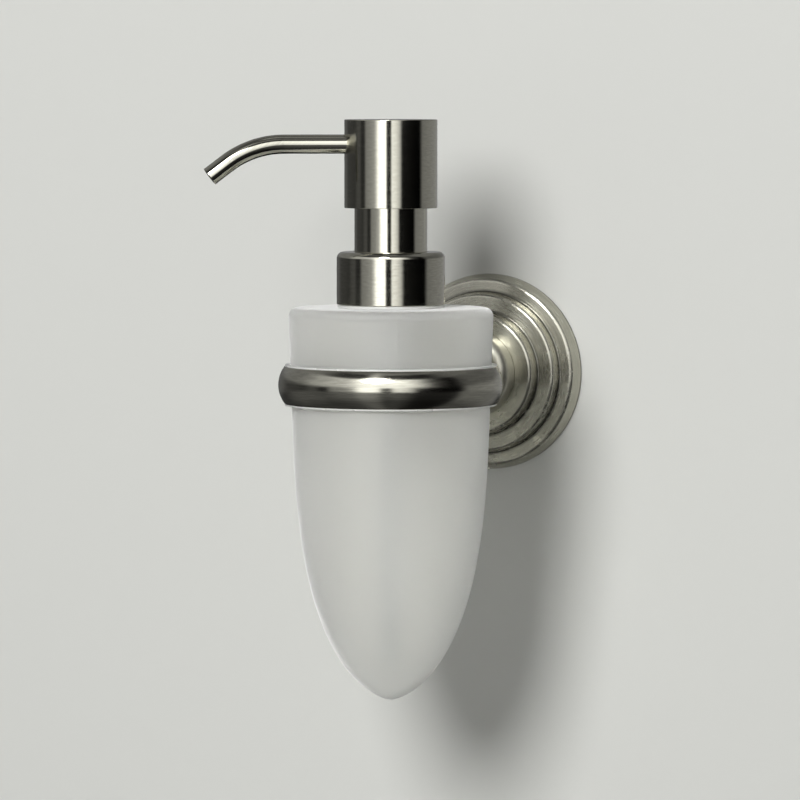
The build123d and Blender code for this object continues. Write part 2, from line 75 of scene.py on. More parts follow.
# places of the two axes that the turned pieces are spun about
ON_BOTTLE = Matrix.Translation((0.0, BOTTLE_Y, 0.0))
ON_WALL = Matrix(((1, 0, 0, 0), (0, 0, -1, 0), (0, 1, 0, 0), (0, 0, 0, 1)))


# ---- sizes and colours -------------------------------------------------------------------
def metres(name, description, default, low=0.0, precision=3):
    """A length in metres."""
    return bpy.props.FloatProperty(
        name=name,
        description=description,
        default=default,
        min=low,
        unit="LENGTH",
        precision=precision,
    )


def degrees(name, description, default):
    """An angle, given in degrees."""
    return bpy.props.FloatProperty(
        name=name, description=description, default=math.radians(default), unit="ROTATION"
    )


def share(name, description, default):
    """A part of the whole, from 0 to 1."""
    return bpy.props.FloatProperty(
        name=name, description=description, default=default, min=0.0, max=1.0, subtype="FACTOR"
    )


def colour(name, description, default):
    """A colour in linear light."""
    return bpy.props.FloatVectorProperty(
        name=name, description=description, default=default, min=0.0, max=1.0, subtype="COLOR"
    )


class DispenserSizes(bpy.types.PropertyGroup):
    grain_depth: metres(
        "Grain depth", "Depth of the fine turning lines in the nickel", 0.000008, precision=6
    )
    grain_pitch: metres(
        "Grain pitch", "Distance from one turning line to the next", 0.00045, 0.00005, precision=5
    )
    frost_depth: metres(
        "Frost depth", "Depth of the etched skin of the glass", 0.00002, precision=6
    )
    thread_pitch: metres("Thread pitch", "Rise of the bottle's thread in one turn", 0.003, 0.001)
    wall_width: metres("Wall width", "Width of the wall behind the dispenser", 4.0, 0.5)
    floor_drop: metres("Floor drop", "Distance from the arm down to the floor", 1.0, 0.3)
    wall_glow: share(
        "Wall glow", "How evenly lit the wall is where it is seen through the glass", 0.98
    )
    floor_glow: share("Floor glow", "How evenly lit the floor looks", 0.8)
    camera_distance: metres(
        "Camera distance", "Distance from the camera to the point that it looks at", 1.752, 0.3
    )
    view_width: metres(
        "View width", "Width of what the camera sees at that distance", 0.25488, 0.05, precision=5
    )
    aim_right: metres(
        "Aim right", "How far the camera looks to the right of the bottle's axis", 0.0029, -1.0, 4
    )
    aim_drop: metres("Aim drop", "How far the camera looks below the arm", 0.0049, -1.0, 4)
    camera_turn: degrees("Camera turn", "How far the camera stands to the right of straight on", 22.5)
    camera_rise: degrees("Camera rise", "How far the camera looks down", 3.4)


class DispenserColours(bpy.types.PropertyGroup):
    nickel: colour("Nickel", "Satin nickel of the visible metal", (0.500, 0.489, 0.418))
    glass: colour("Glass", "Etched glass of the bottle", (0.95, 0.95, 0.925))
    liner: colour(
        "Liner", "Clear pale plastic between the ring and the bottle", (0.88, 0.885, 0.86)
    )
    wall: colour("Wall", "Paint of the wall", (0.690, 0.695, 0.665))


def sizes():
    return bpy.context.scene.dispenser_sizes


def colours():
    return bpy.context.scene.dispenser_colours


def tint(colour, factor):
    """A colour made darker or lighter by a factor."""
    return tuple(min(1.0, factor * part) for part in colour)


# ---- node helpers ------------------------------------------------------------------------
def link(tree, source, target):
    tree.links.new(source, target)


def add(tree, kind, **settings):
    """A node of one kind. A key of settings is an attribute of the node, or one of its inputs."""
    node = tree.nodes.new(kind)
    for key, value in settings.items():
        if hasattr(node, key):
            setattr(node, key, value)
        else:
            node.inputs[key.replace("_", " ")].default_value = value
    return node


def feed(tree, sockets, values):
    """Links each input to its socket, or sets it to its fixed value."""
    for socket, value in zip(sockets, values):
        if isinstance(value, bpy.types.NodeSocket):
            link(tree, value, socket)
        else:
            socket.default_value = value


def maths(tree, operation, *values):
    """The output of a Math node whose inputs are sockets or numbers."""
    node = add(tree, "ShaderNodeMath", operation=operation)
    feed(tree, node.inputs, values)
    return node.outputs[0]


def vector_maths(tree, operation, *values):
    """The output of a Vector Math node whose inputs are sockets or vectors."""
    node = add(tree, "ShaderNodeVectorMath", operation=operation)
    feed(tree, node.inputs, values)
    return node.outputs["Value" if operation in ("LENGTH", "DOT_PRODUCT") else "Vector"]


def across(tree, vector):
    """A vector without its part along the local Z axis."""
    return vector_maths(tree, "MULTIPLY", vector, (1.0, 1.0, 0.0))


def remap(tree, value, low, high, out_low, out_high, kind="LINEAR"):
    """The output of a Map Range node."""
    node = add(
        tree,
        "ShaderNodeMapRange",
        interpolation_type=kind,
        From_Min=low,
        From_Max=high,
        To_Min=out_low,
        To_Max=out_high,
    )
    link(tree, value, node.inputs["Value"])
    return node.outputs["Result"]


def ramp(tree, value, stops):
    """A ramp over (position, grey) stops."""
    node = add(tree, "ShaderNodeValToRGB")
    elements = node.color_ramp.elements
    while len(elements) > 1:
        elements.remove(elements[-1])
    for number, (position, grey) in enumerate(stops):
        element = elements[0] if number == 0 else elements.new(position)
        element.position = position
        element.color = (grey, grey, grey, 1.0)
    link(tree, value, node.inputs["Fac"])
    return node.outputs["Color"]


def mix_colour(tree, factor, first, second):
    """The output of a Mix node between two colours or sockets. Sockets 6, 7 and 2 are its colours."""
    node = add(tree, "ShaderNodeMix", data_type="RGBA")
    first, second = ((*v, 1.0) if isinstance(v, tuple) else v for v in (first, second))
    feed(tree, (node.inputs[0], node.inputs[6], node.inputs[7]), (factor, first, second))
    return node.outputs[2]


def node_group(name, inputs, outputs):
    """An empty shader group; inputs and outputs are (name, kind, default) and (name, kind)."""
    tree = bpy.data.node_groups.new(name, "ShaderNodeTree")
    for label, kind, default in inputs:
        socket = tree.interface.new_socket(label, in_out="INPUT", socket_type=kind)
        if default is not None:
            socket.default_value = default
    for label, kind in outputs:
        tree.interface.new_socket(label, in_out="OUTPUT", socket_type=kind)
    return tree, tree.nodes.new("NodeGroupInput"), tree.nodes.new("NodeGroupOutput")


def shared(build):
    """Gives the node group that a function builds, and builds it only once."""
    name = build.__name__.replace("_", " ").capitalize()

    def give():
        return bpy.data.node_groups.get(name) or build(name)

    return give


@shared
def turned_grain(name):
    """Lines left by turning, around the local Z axis, on sides and faces alike."""
    tree, given, made = node_group(
        name,
        (
            ("Vector", "NodeSocketVector", None),
            ("Lines", "NodeSocketFloat", 2200.0),
            ("Wander", "NodeSocketFloat", 6.0),
        ),
        (("Lines", "NodeSocketFloat"), ("Patches", "NodeSocketFloat")),
    )
    split = add(tree, "ShaderNodeSeparateXYZ")
    link(tree, given.outputs["Vector"], split.inputs[0])
    flat = across(tree, given.outputs["Vector"])
    turn = add(tree, "ShaderNodeSeparateXYZ")
    link(tree, vector_maths(tree, "NORMALIZE", flat), turn.inputs[0])
    path = maths(tree, "ADD", vector_maths(tree, "LENGTH", flat), split.outputs["Z"])
    place = add(tree, "ShaderNodeCombineXYZ")
    wander, lines = given.outputs["Wander"], given.outputs["Lines"]
    pairs = ((turn.outputs["X"], wander), (turn.outputs["Y"], wander), (path, lines))
    feed(tree, place.inputs, [maths(tree, "MULTIPLY", *pair) for pair in pairs])
    lines = add(tree, "ShaderNodeTexNoise", Scale=1.0, Detail=3.0, Roughness=0.6)
    link(tree, place.outputs[0], lines.inputs["Vector"])
    link(tree, lines.outputs["Fac"], made.inputs["Lines"])
    patches = add(tree, "ShaderNodeTexNoise", Scale=70.0, Detail=2.0)
    link(tree, given.outputs["Vector"], patches.inputs["Vector"])
    link(tree, patches.outputs["Fac"], made.inputs["Patches"])
    return tree


@shared
def edge_wear(name):
    """A mask of the outer edges, where handling polishes a piece and a painted highlight lightens it.
    """
    tree, given, made = node_group(
        name,
        (("Reach", "NodeSocketFloat", 0.06),),
        (("Mask", "NodeSocketFloat"),),
    )
    shape = add(tree, "ShaderNodeNewGeometry")
    flat, first_brightened = 0.5, 0.505
    node = add(tree, "ShaderNodeMapRange", From_Min=first_brightened)
    link(tree, shape.outputs["Pointiness"], node.inputs["Value"])
    link(tree, maths(tree, "ADD", given.outputs["Reach"], flat), node.inputs["From Max"])
    link(tree, node.outputs["Result"], made.inputs["Mask"])
    return tree


@shared
def recess(name):
    """A mask of a recessed corner that runs around the local Z axis, where painted shade darkens it.
    """
    tree, given, made = node_group(
        name,
        (
            ("Vector", "NodeSocketVector", None),
            ("Radius", "NodeSocketFloat", 0.02),
            ("Height", "NodeSocketFloat", 0.0),
            ("Reach", "NodeSocketFloat", 0.001),
        ),
        (("Mask", "NodeSocketFloat"),),
    )
    split = add(tree, "ShaderNodeSeparateXYZ")
    link(tree, given.outputs["Vector"], split.inputs[0])
    reach = vector_maths(tree, "LENGTH", across(tree, given.outputs["Vector"]))
    out = maths(tree, "SUBTRACT", reach, given.outputs["Radius"])
    up = maths(tree, "SUBTRACT", split.outputs["Z"], given.outputs["Height"])
    gap = maths(tree, "ADD", maths(tree, "MULTIPLY", out, out), maths(tree, "MULTIPLY", up, up))
    gap = maths(tree, "DIVIDE", maths(tree, "SQRT", gap), given.outputs["Reach"])
    whole_until = 0.3
    mask = remap(tree, gap, whole_until, 1.0, 1.0, 0.0, "SMOOTHSTEP")
    link(tree, mask, made.inputs["Mask"])
    return tree


@shared
def moulded_skin(name):
    """The faint orange peel and cloudiness of a moulded or etched surface."""
    tree, given, made = node_group(
        name,
        (("Vector", "NodeSocketVector", None), ("Scale", "NodeSocketFloat", 900.0)),
        (("Height", "NodeSocketFloat"), ("Cloud", "NodeSocketFloat")),
    )
    fine = add(tree, "ShaderNodeTexNoise", Detail=3.0, Roughness=0.55)
    link(tree, given.outputs["Vector"], fine.inputs["Vector"])
    link(tree, given.outputs["Scale"], fine.inputs["Scale"])
    link(tree, fine.outputs["Fac"], made.inputs["Height"])
    cloud = add(tree, "ShaderNodeTexNoise", Scale=35.0, Detail=2.0)
    link(tree, given.outputs["Vector"], cloud.inputs["Vector"])
    link(tree, cloud.outputs["Fac"], made.inputs["Cloud"])
    return tree


def place_group(tree, group, vector=None, **values):
    """A node of a shared group, which takes its place from a vector."""
    node = add(tree, "ShaderNodeGroup", node_tree=group, **values)
    if vector is not None:
        link(tree, vector, node.inputs["Vector"])
    return node


def new_material(name):
    """A material with a Principled shader, and the shader's node."""
    material = bpy.data.materials.new(name)
    material.use_nodes = True
    return material, material.node_tree, material.node_tree.nodes["Principled BSDF"]


def local_vector(tree, centre, turn=(0.0, 0.0, 0.0)):
    """Object coordinates, moved so that a piece's axis is the local Z axis."""
    place = add(tree, "ShaderNodeTexCoord")
    shift = add(tree, "ShaderNodeMapping", vector_type="TEXTURE")
    shift.inputs["Location"].default_value = centre
    shift.inputs["Rotation"].default_value = turn
    link(tree, place.outputs["Object"], shift.inputs["Vector"])
    return shift.outputs[0]


def bump(tree, shader, height, depth):
    node = add(tree, "ShaderNodeBump", Strength=1.0, Distance=depth)
    link(tree, height, node.inputs["Height"])
    link(tree, node.outputs["Normal"], shader.inputs["Normal"])


ALONG_WALL_AXIS = (math.radians(90), 0.0, 0.0)
WALL_CENTRE = (0.0, 0.0, 0.0)
BOTTLE_CENTRE = (0.0, BOTTLE_Y, 0.0)
NOISE_RANGE = (0.3, 0.7)  # where nearly all values of a noise lie
STREAK_RANGE = (0.32, 0.68)  # the same for the turning lines, with a little more contrast
CORNER_REACH = 1.1 * MM  # how far the painted shade of a recessed corner spreads
SHALLOW = 0.000001  # depth of the lines where the brushing itself is given
QUARTER_TURN = 0.25
AROUND_WALL_AXIS = ((0, 1, 0), False, 0.88)
AROUND_BOTTLE_AXIS = ((0, 0, 1), True, 0.7)


def nickel(
    name, centre, turn=(0.0, 0.0, 0.0), low=0.06, high=0.15, depth=None, brushed=None, corners=()
):
    """Satin nickel with turning lines, cloudy roughness and brighter edges, part worn and part
    painted highlight.
    low and high are its roughness, depth is that of the lines, brushed is (axis, whether it is
    sideways, strength) of the brushing, and corners are the (radius, height) of recessed corners that
    get painted shade."""
    material, tree, shader = new_material(name)
    vector = local_vector(tree, centre, turn)
    grain = place_group(tree, turned_grain(), vector, Lines=1.0 / sizes().grain_pitch)
    wear_and_sheen = place_group(tree, edge_wear())
    base = tuple(colours().nickel)
    streak = remap(tree, grain.outputs["Lines"], *STREAK_RANGE, 0.0, 1.0)
    tone = mix_colour(tree, streak, tint(base, 0.88), tint(base, 1.10))
    # brighter edges: part polish from handling, part painted highlight
    tone = mix_colour(tree, wear_and_sheen.outputs["Mask"], tone, tint(base, 1.25))
    # painted shade: the colour is halved in each recessed corner
    for radius, height in corners:
        shade = place_group(
            tree, recess(), vector, Radius=radius * MM, Height=height * MM, Reach=CORNER_REACH
        )
        tone = mix_colour(tree, shade.outputs["Mask"], tone, tint(base, 0.5))
    link(tree, tone, shader.inputs["Base Color"])
    shader.inputs["Metallic"].default_value = 1.0
    rough = maths(tree, "ADD", grain.outputs["Lines"], grain.outputs["Patches"])
    smooth_end, rough_end = (2 * value for value in NOISE_RANGE)
    link(tree, remap(tree, rough, smooth_end, rough_end, low, high), shader.inputs["Roughness"])
    bump(tree, shader, grain.outputs["Lines"], depth or sizes().grain_depth)
    if brushed:
        axis, sideways, amount = brushed
        around = vector_maths(tree, "CROSS_PRODUCT", axis, local_vector(tree, centre))
        link(tree, around, shader.inputs["Tangent"])
        shader.inputs["Anisotropic"].default_value = amount
        shader.inputs["Anisotropic Rotation"].default_value = 0.0 if sideways else QUARTER_TURN
    return material


def steel(name, colour, roughness, centre=BOTTLE_CENTRE):
    """Plain steel with a faint grain, and brighter edges that are part worn and part painted
    highlight.
    """
    material, tree, shader = new_material(name)
    grain = place_group(tree, turned_grain(), local_vector(tree, centre), Lines=1500.0)
    wear_and_sheen = place_group(tree, edge_wear())
    tone = mix_colour(tree, grain.outputs["Patches"], tint(colour, 0.8), colour)
    # brighter edges: part polish from handling, part painted highlight
    tone = mix_colour(tree, wear_and_sheen.outputs["Mask"], tone, tint(colour, 1.3))
    link(tree, tone, shader.inputs["Base Color"])
    shader.inputs["Metallic"].default_value = 1.0
    rough = remap(tree, grain.outputs["Patches"], *NOISE_RANGE, roughness, roughness + 0.12)
    link(tree, rough, shader.inputs["Roughness"])
    bump(tree, shader, grain.outputs["Lines"], depth=0.000005)
    return material


def plastic(name, colour, roughness, transmission=0.0, scale=900.0):
    """Moulded plastic or rubber with a faint skin texture and slightly uneven colour."""
    material, tree, shader = new_material(name)
    skin = place_group(tree, moulded_skin(), local_vector(tree, BOTTLE_CENTRE), Scale=scale)
    wear_and_sheen = place_group(tree, edge_wear())
    tone = mix_colour(tree, skin.outputs["Cloud"], tint(colour, 0.93), colour)
    # brighter edges: part polish from handling, part painted highlight
    tone = mix_colour(tree, wear_and_sheen.outputs["Mask"], tone, tint(colour, 1.08))
    link(tree, tone, shader.inputs["Base Color"])
    smooth_end, rough_end = roughness - 0.06, roughness + 0.08
    rough = remap(tree, skin.outputs["Cloud"], *NOISE_RANGE, smooth_end, rough_end)
    link(tree, rough, shader.inputs["Roughness"])
    shader.inputs["Transmission Weight"].default_value = transmission
    shader.inputs["IOR"].default_value = 1.49
    bump(tree, shader, skin.outputs["Height"], depth=0.00001)
    return material


def outer_side(tree, vector):
    """1 on faces that look away from the bottle's axis, 0 on faces that look at it."""
    away = vector_maths(tree, "NORMALIZE", across(tree, vector))
    shape = add(tree, "ShaderNodeNewGeometry")
    facing = vector_maths(tree, "DOT_PRODUCT", away, shape.outputs["Normal"])
    sign = remap(tree, shape.outputs["Backfacing"], 0.0, 1.0, 1.0, -1.0)
    facing = maths(tree, "MULTIPLY", facing, sign)
    inner_end, outer_end = -0.12, -0.02
    return remap(tree, facing, inner_end, outer_end, 0.0, 1.0)


def frosted_glass(name):
    """Glass etched outside: it passes light without showing what is behind it."""
    material, tree, shader = new_material(name)
    vector = local_vector(tree, BOTTLE_CENTRE)
    skin = place_group(tree, moulded_skin(), vector, Scale=2600.0)
    glass = tuple(colours().glass)
    tone = mix_colour(tree, skin.outputs["Cloud"], tint(glass, 0.96), glass)
    link(tree, tone, shader.inputs["Base Color"])
    plain, smooth_end, rough_end = 0.04, 0.56, 0.62
    rough = remap(tree, skin.outputs["Cloud"], *NOISE_RANGE, smooth_end, rough_end)
    rough = maths(tree, "MULTIPLY", rough, outer_side(tree, vector))
    link(tree, maths(tree, "ADD", rough, plain), shader.inputs["Roughness"])
    shader.inputs["Transmission Weight"].default_value = 0.84
    shader.inputs["IOR"].default_value = 1.45
    shader.inputs["Sheen Weight"].default_value = 0.9
    shader.inputs["Sheen Roughness"].default_value = 0.4
    bump(tree, shader, skin.outputs["Height"], sizes().frost_depth)
    return material


# ---- mesh helpers ------------------------------------------------------------------------
def arc(start, middle, end, steps):
    """Points on the circle through three points of a plane, from start to end."""
    (ax, ay), (bx, by), (cx, cy) = start, middle, end
    d = 2 * (ax * (by - cy) + bx * (cy - ay) + cx * (ay - by))
    a, b, c = ax * ax + ay * ay, bx * bx + by * by, cx * cx + cy * cy
    ux = (a * (by - cy) + b * (cy - ay) + c * (ay - by)) / d
    uy = (a * (cx - bx) + b * (ax - cx) + c * (bx - ax)) / d
    radius = math.hypot(ax - ux, ay - uy)
    first, half, last = (math.atan2(y - uy, x - ux) for x, y in (start, middle, end))
    sweep = (last - first) % math.tau
    if (half - first) % math.tau > sweep:
        sweep -= math.tau
    turns = [first + sweep * n / steps for n in range(steps + 1)]
    return [(ux + radius * math.cos(t), uy + radius * math.sin(t)) for t in turns]


def smooth_line(points, first, last, steps):
    """Points on a smooth line through a few points, with its end directions given."""
    points = [Vector((x, y, 0.0)) for x, y in points]
    ways = [after - before for before, after in zip(points, points[2:])]
    ways = [Vector((*first, 0.0)), *ways, Vector((*last, 0.0))]
    line = []
    for start, end, leave, reach in zip(points, points[1:], ways, ways[1:]):
        third = (end - start).length / 3
        leave = start + leave.normalized() * third
        reach = end - reach.normalized() * third
        span = geometry.interpolate_bezier(start, leave, reach, end, steps + 1)
        line += [(p[0], p[1]) for p in span[:-1]]
    return [*line, (points[-1][0], points[-1][1])]


def lathe(outline, rounds, segments, steps=STEPS):
    """Spins an outline of (radius, height) in millimetres about Z, closed except on the axis.
    rounds are (radius, height, size) of the corners that are rounded, in so many segments."""
    bm = bmesh.new()
    verts = [bm.verts.new((r * MM, 0.0, h * MM)) for r, h in outline]
    edges = []
    for here, after in zip(verts, verts[1:] + verts[:1]):
        if here.co.x > WELD or after.co.x > WELD:
            edges.append(bm.edges.new((here, after)))
    bmesh.ops.spin(
        bm,
        geom=verts + edges,
        cent=(0, 0, 0),
        axis=(0, 0, 1),
        angle=math.tau,
        steps=steps,
        use_merge=True,
    )
    bmesh.ops.remove_doubles(bm, verts=bm.verts, dist=WELD)
    bmesh.ops.recalc_face_normals(bm, faces=bm.faces)
    for radius, height, size in rounds:
        ring = [
            edge
            for edge in bm.edges
            if all(
                abs(math.hypot(v.co.x, v.co.y) - radius * MM) < ON_RING
                and abs(v.co.z - height * MM) < ON_RING
                for v in edge.verts
            )
        ]
        if not ring:
            raise RuntimeError(f"no ring at radius {radius}, height {height}")
        bmesh.ops.bevel(
            bm,
            geom=ring,
            offset=size * MM,
            offset_type="OFFSET",
            segments=segments,
            profile=0.5,
            affect="EDGES",
            clamp_overlap=False,
            material=-1,
        )
    return bm


def bullet(radius, length):
    """Points of the bottle's lower curve, from the end of its cone to the tip."""
    steps = 44
    lean, reach, flank, drop, tip = 0.01753, 0.502, 0.783, 0.905, 0.136
    points = [
        (radius, CONE_END),
        (radius - lean * length, CONE_END - reach * length),
        (flank * radius, CONE_END - drop * length),
        (tip * radius, CONE_END - length),
        (0.0, CONE_END - length),
    ]
    line = []
    for n in range(steps + 1):
        level = [Vector(p) for p in points]
        while len(level) > 1:
            level = [a.lerp(b, n / steps) for a, b in zip(level, level[1:])]
        line.append(tuple(level[0]))
    return line


def thread(root, crest, start, turns):
    """A helical ridge around Z, in millimetres."""
    steps, half_root, half_crest = 72, 0.95, 0.35
    bm = bmesh.new()
    outline = [(root, -half_root), (crest, -half_crest), (crest, half_crest), (root, half_root)]
    verts = [bm.verts.new((r * MM, 0.0, (start + h) * MM)) for r, h in outline]
    face = bm.faces.new(verts)
    bmesh.ops.spin(
        bm,
        geom=[face],
        cent=(0, 0, 0),
        axis=(0, 0, 1),
        dvec=(0, 0, sizes().thread_pitch / steps),
        angle=math.tau * turns,
        steps=int(steps * turns),
    )
    bmesh.ops.remove_doubles(bm, verts=bm.verts, dist=WELD)
    bmesh.ops.holes_fill(bm, edges=bm.edges, sides=4)
    bmesh.ops.recalc_face_normals(bm, faces=bm.faces)
    return bm


def coil(radius, wire, length, turns):
    """A wire wound around Z, from the height 0 up to its length, in metres."""
    sides, steps = 10, 32
    bm = bmesh.new()
    bmesh.ops.create_circle(bm, cap_ends=True, segments=sides, radius=wire)
    bmesh.ops.rotate(bm, verts=bm.verts, matrix=Matrix.Rotation(math.pi / 2, 3, "X"))
    bmesh.ops.translate(bm, verts=bm.verts, vec=(radius, 0, wire))
    bmesh.ops.spin(
        bm,
        geom=bm.faces[:],
        cent=(0, 0, 0),
        axis=(0, 0, 1),
        dvec=(0, 0, (length - 2 * wire) / (turns * steps)),
        angle=math.tau * turns,
        steps=turns * steps,
    )
    bmesh.ops.remove_doubles(bm, verts=bm.verts, dist=WELD)
    bmesh.ops.holes_fill(bm, edges=bm.edges, sides=sides)
    bmesh.ops.recalc_face_normals(bm, faces=bm.faces)
    return bm


def finish_piece(name, bm, place, body, material, replaces=()):
    """Makes the object of a bmesh, at the origin, on its body and in its material."""
    bmesh.ops.transform(bm, matrix=place, verts=bm.verts)
    mesh = bpy.data.meshes.new(name)
    bm.to_mesh(mesh)
    bm.free()
    mesh.shade_smooth()
    mesh.set_sharp_from_angle(angle=SHARP_ANGLE)
    mesh.materials.append(material)
    piece = bpy.data.objects.new(name, mesh)
    bpy.context.scene.collection.objects.link(piece)
    flat = piece.modifiers.new("Flat faces", "WEIGHTED_NORMAL")
    flat.keep_sharp = True
    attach(piece, body)
    if replaces:
        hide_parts(*replaces)
    return piece


def cut(bm, cutter):
    """The first mesh with the second one taken out of it."""
    things = []
    for source in (bm, cutter):
        mesh = bpy.data.meshes.new("cut")
        source.to_mesh(mesh)
        source.free()
        things.append(bpy.data.objects.new("cut", mesh))
        bpy.context.scene.collection.objects.link(things[-1])
    whole, tool = things
    modifier = whole.modifiers.new("Cut", "BOOLEAN")
    modifier.object = tool
    modifier.operation = "DIFFERENCE"
    modifier.solver = "EXACT"
    graph = bpy.context.evaluated_depsgraph_get()
    result = bmesh.new()
    result.from_object(whole, graph)
    for thing in things:
        mesh = thing.data
        bpy.data.objects.remove(thing)
        bpy.data.meshes.remove(mesh)
    return result


def dress(node, material):
    """Gives a CAD node a finish."""
    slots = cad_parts[node].data.materials
    if not slots:
        slots.append(material)
    for number in range(len(slots)):
        slots[number] = material


# ---- the holder --------------------------------------------------------------------------
class DISPENSER_OT_rosette(bpy.types.Operator):
    """Adds the stepped rosette with its three rounded tiers"""

    bl_idname = "dispenser.rosette"
    bl_label = "Rosette"

    def execute(self, context):
        rim, rim_top, wall, bolt_hole = 32.5, 1.2, 1.5, 3.3
        crowns, feet, bores = (30.95, 26.05, 19.75), (26.8, 20.8), (28.3, 24.7, 18.5)
        low, middle = 5.5, 9.8
        levels = (low, middle, FACE)
        outline = [(rim, 0.0), (rim, rim_top)]
        for crown, foot, level in zip(crowns, (*feet, bolt_hole), levels):
            outline += [(crown, level), (foot, level)]
        outline.append((bolt_hole, FACE - wall))
        for bore, level, below in zip(bores[::-1], levels[::-1], (middle, low, wall)):
            outline += [(bore, level - wall), (bore, below - wall)]
        rounds = [(rim, rim_top, 0.9)]
        rounds += [(crown, level, 1.0) for crown, level in zip(crowns, levels)]
        rounds += [(foot, level, 0.5) for foot, level in zip(feet, levels)]
        rounds.append((rim, 0.0, 0.15))
        bm = lathe(outline, rounds, steps=FINE_STEPS, segments=6)
        screw, depth, reach, height = 1.55, 8.0, 31.0, 1.9
        hole = bmesh.new()
        bmesh.ops.create_cone(
            hole,
            cap_ends=True,
            segments=48,
            radius1=screw * MM,
            radius2=screw * MM,
            depth=depth * MM,
            matrix=Matrix.Translation((0.0, -reach * MM, height * MM))
            @ Matrix.Rotation(math.pi / 2, 4, "X"),
        )
        bm = cut(bm, hole)
        material = nickel(
            "Nickel of the rosette",
            WALL_CENTRE,
            ALONG_WALL_AXIS,
            low=0.24,
            high=0.29,
            depth=SHALLOW,
            brushed=AROUND_WALL_AXIS,
            # painted shade in the corners at the feet of the tiers
            corners=tuple(zip(feet, levels)),
        )
        finish_piece("rosette_turned", bm, ON_WALL, "holder", material, ["rosette"])
        return {"FINISHED"}


class DISPENSER_OT_arm(bpy.types.Operator):
    """Adds the turned arm with its domed boss, cove and bead"""

    bl_idname = "dispenser.arm"
    bl_label = "Arm"

    def execute(self, context):
        boss, boss_top, cove, waist = 14.3, 22.6, 9.7, (6.6, 29.6)
        stem, bead, end = 5.3, 6.0, 51.8
        bead_foot, bead_middle, bead_top = 47.5, 48.7, 49.9
        slope = [(cove, boss_top), waist, (stem, bead_foot)]
        outline = [(0.0, FACE), (boss, FACE), (boss, boss_top), (cove, boss_top)]
        outline += smooth_line(slope, first=(-1, 1), last=(-0.05, 1), steps=14)[1:]
        outline += arc((stem, bead_foot), (bead, bead_middle), (stem, bead_top), steps=10)[1:]
        outline += [(stem, end), (0.0, end)]
        bm = lathe(outline, [(boss, boss_top, 3.4), (boss, FACE, 0.4)], segments=10)
        material = nickel(
            "Nickel of the arm",
            WALL_CENTRE,
            ALONG_WALL_AXIS,
            low=0.28,
            high=0.34,
            depth=SHALLOW,
            brushed=AROUND_WALL_AXIS,
        )
        finish_piece("arm_turned", bm, ON_WALL, "holder", material, ["arm"])
        return {"FINISHED"}


class DISPENSER_OT_ring(bpy.types.Operator):
    """Adds the crowned ring and the pale liner that shows above and below it"""

    bl_idname = "dispenser.ring"
    bl_label = "Ring and liner"

    def execute(self, context):
        bore, edge, crown, half = 33.13, 33.83, 35.88, 6.0
        outline = arc((edge, -half), (crown, 0.0), (edge, half), steps=36)
        outline += [(bore, half), (bore, -half)]
        rounds = [(edge, half, 0.2), (edge, -half, 0.2)]
        bm = lathe(outline, rounds, steps=FINE_STEPS, segments=3)
        material = nickel(
            "Nickel of the ring", BOTTLE_CENTRE, low=0.10, high=0.18, brushed=AROUND_BOTTLE_AXIS
        )
        finish_piece("ring_turned", bm, ON_BOTTLE, "holder", material, ["holder_ring"])
        lip, end, bore_below, bore_above = 33.73, 6.5, 31.77, 32.23
        outline = [(bore_below, -end), (lip, -end), (lip, -half), (bore, -half)]
        outline += [(bore, half), (lip, half), (lip, end), (bore_above, end)]
        rounds = [(lip, -end, 0.18), (lip, end, 0.18), (bore_above, end, 0.12)]
        bm = lathe(outline, rounds, steps=FINE_STEPS, segments=3)
        clear = tuple(colours().liner)
        material = plastic("Liner plastic", clear, roughness=0.3, transmission=0.3)
        finish_piece("liner_moulded", bm, ON_BOTTLE, "holder", material, ["ring_liner"])
        return {"FINISHED"}


class DISPENSER_OT_fixings(bpy.types.Operator):
    """Finishes the wall plate, the set screw and the arm's bolt"""

    bl_idname = "dispenser.fixings"
    bl_label = "Plate and screws"

    def execute(self, context):
        zinc = steel("Zinc plated plate", (0.50, 0.51, 0.53), roughness=0.34, centre=WALL_CENTRE)
        dress("wall_plate", zinc)
        screws = steel("Dark screw steel", (0.22, 0.22, 0.23), roughness=0.32, centre=WALL_CENTRE)
        dress("rosette_set_screw", screws)
        dress("arm_bolt", screws)
        return {"FINISHED"}


# ---- the bottle --------------------------------------------------------------------------
class DISPENSER_OT_bottle(bpy.types.Operator):
    """Adds the frosted bottle with its thread, and the washer on its shoulder"""

    bl_idname = "dispenser.bottle"
    bl_label = "Bottle"

    def execute(self, context):
        cone, length, bore_cone, bore_length = 31.29, 84.8, 28.29, 79.8
        edge, bore_edge, ceiling = 32.71, 29.6, 21.6
        neck, bore, top = 13.6, 10.8, 37.6
        outline = [*bullet(cone, length)[::-1], (edge, SHOULDER), (neck, SHOULDER), (neck, top)]
        outline += [(bore, top), (bore, ceiling), (bore_edge, ceiling)]
        outline += bullet(bore_cone, bore_length)
        rounds = [
            (edge, SHOULDER, 2.9),
            (neck, SHOULDER, 0.25),
            (neck, top, 0.6),
            (bore, top, 0.6),
            (bore, ceiling, 1.2),
            (bore_edge, ceiling, 0.4),
        ]
        bm = lathe(outline, rounds, segments=8)
        glass = frosted_glass("Etched glass")
        finish_piece("bottle_blown", bm, ON_BOTTLE, "bottle", glass, ["glass_bottle"])
        bm = thread(root=13.5, crest=14.4, start=27.6, turns=2.5)
        finish_piece("neck_thread", bm, ON_BOTTLE, "bottle", glass)
        hole, edge, top = 13.9, 17.0, 25.5
        outline = [(hole, SHOULDER), (edge, SHOULDER), (edge, top), (hole, top)]
        bm = lathe(outline, [(edge, top, 0.2), (edge, SHOULDER, 0.2)], segments=3)
        pale = plastic("Washer plastic", (0.80, 0.80, 0.78), roughness=0.35, transmission=0.2)
        finish_piece("washer_moulded", bm, ON_BOTTLE, "bottle", pale, ["neck_washer"])
        return {"FINISHED"}


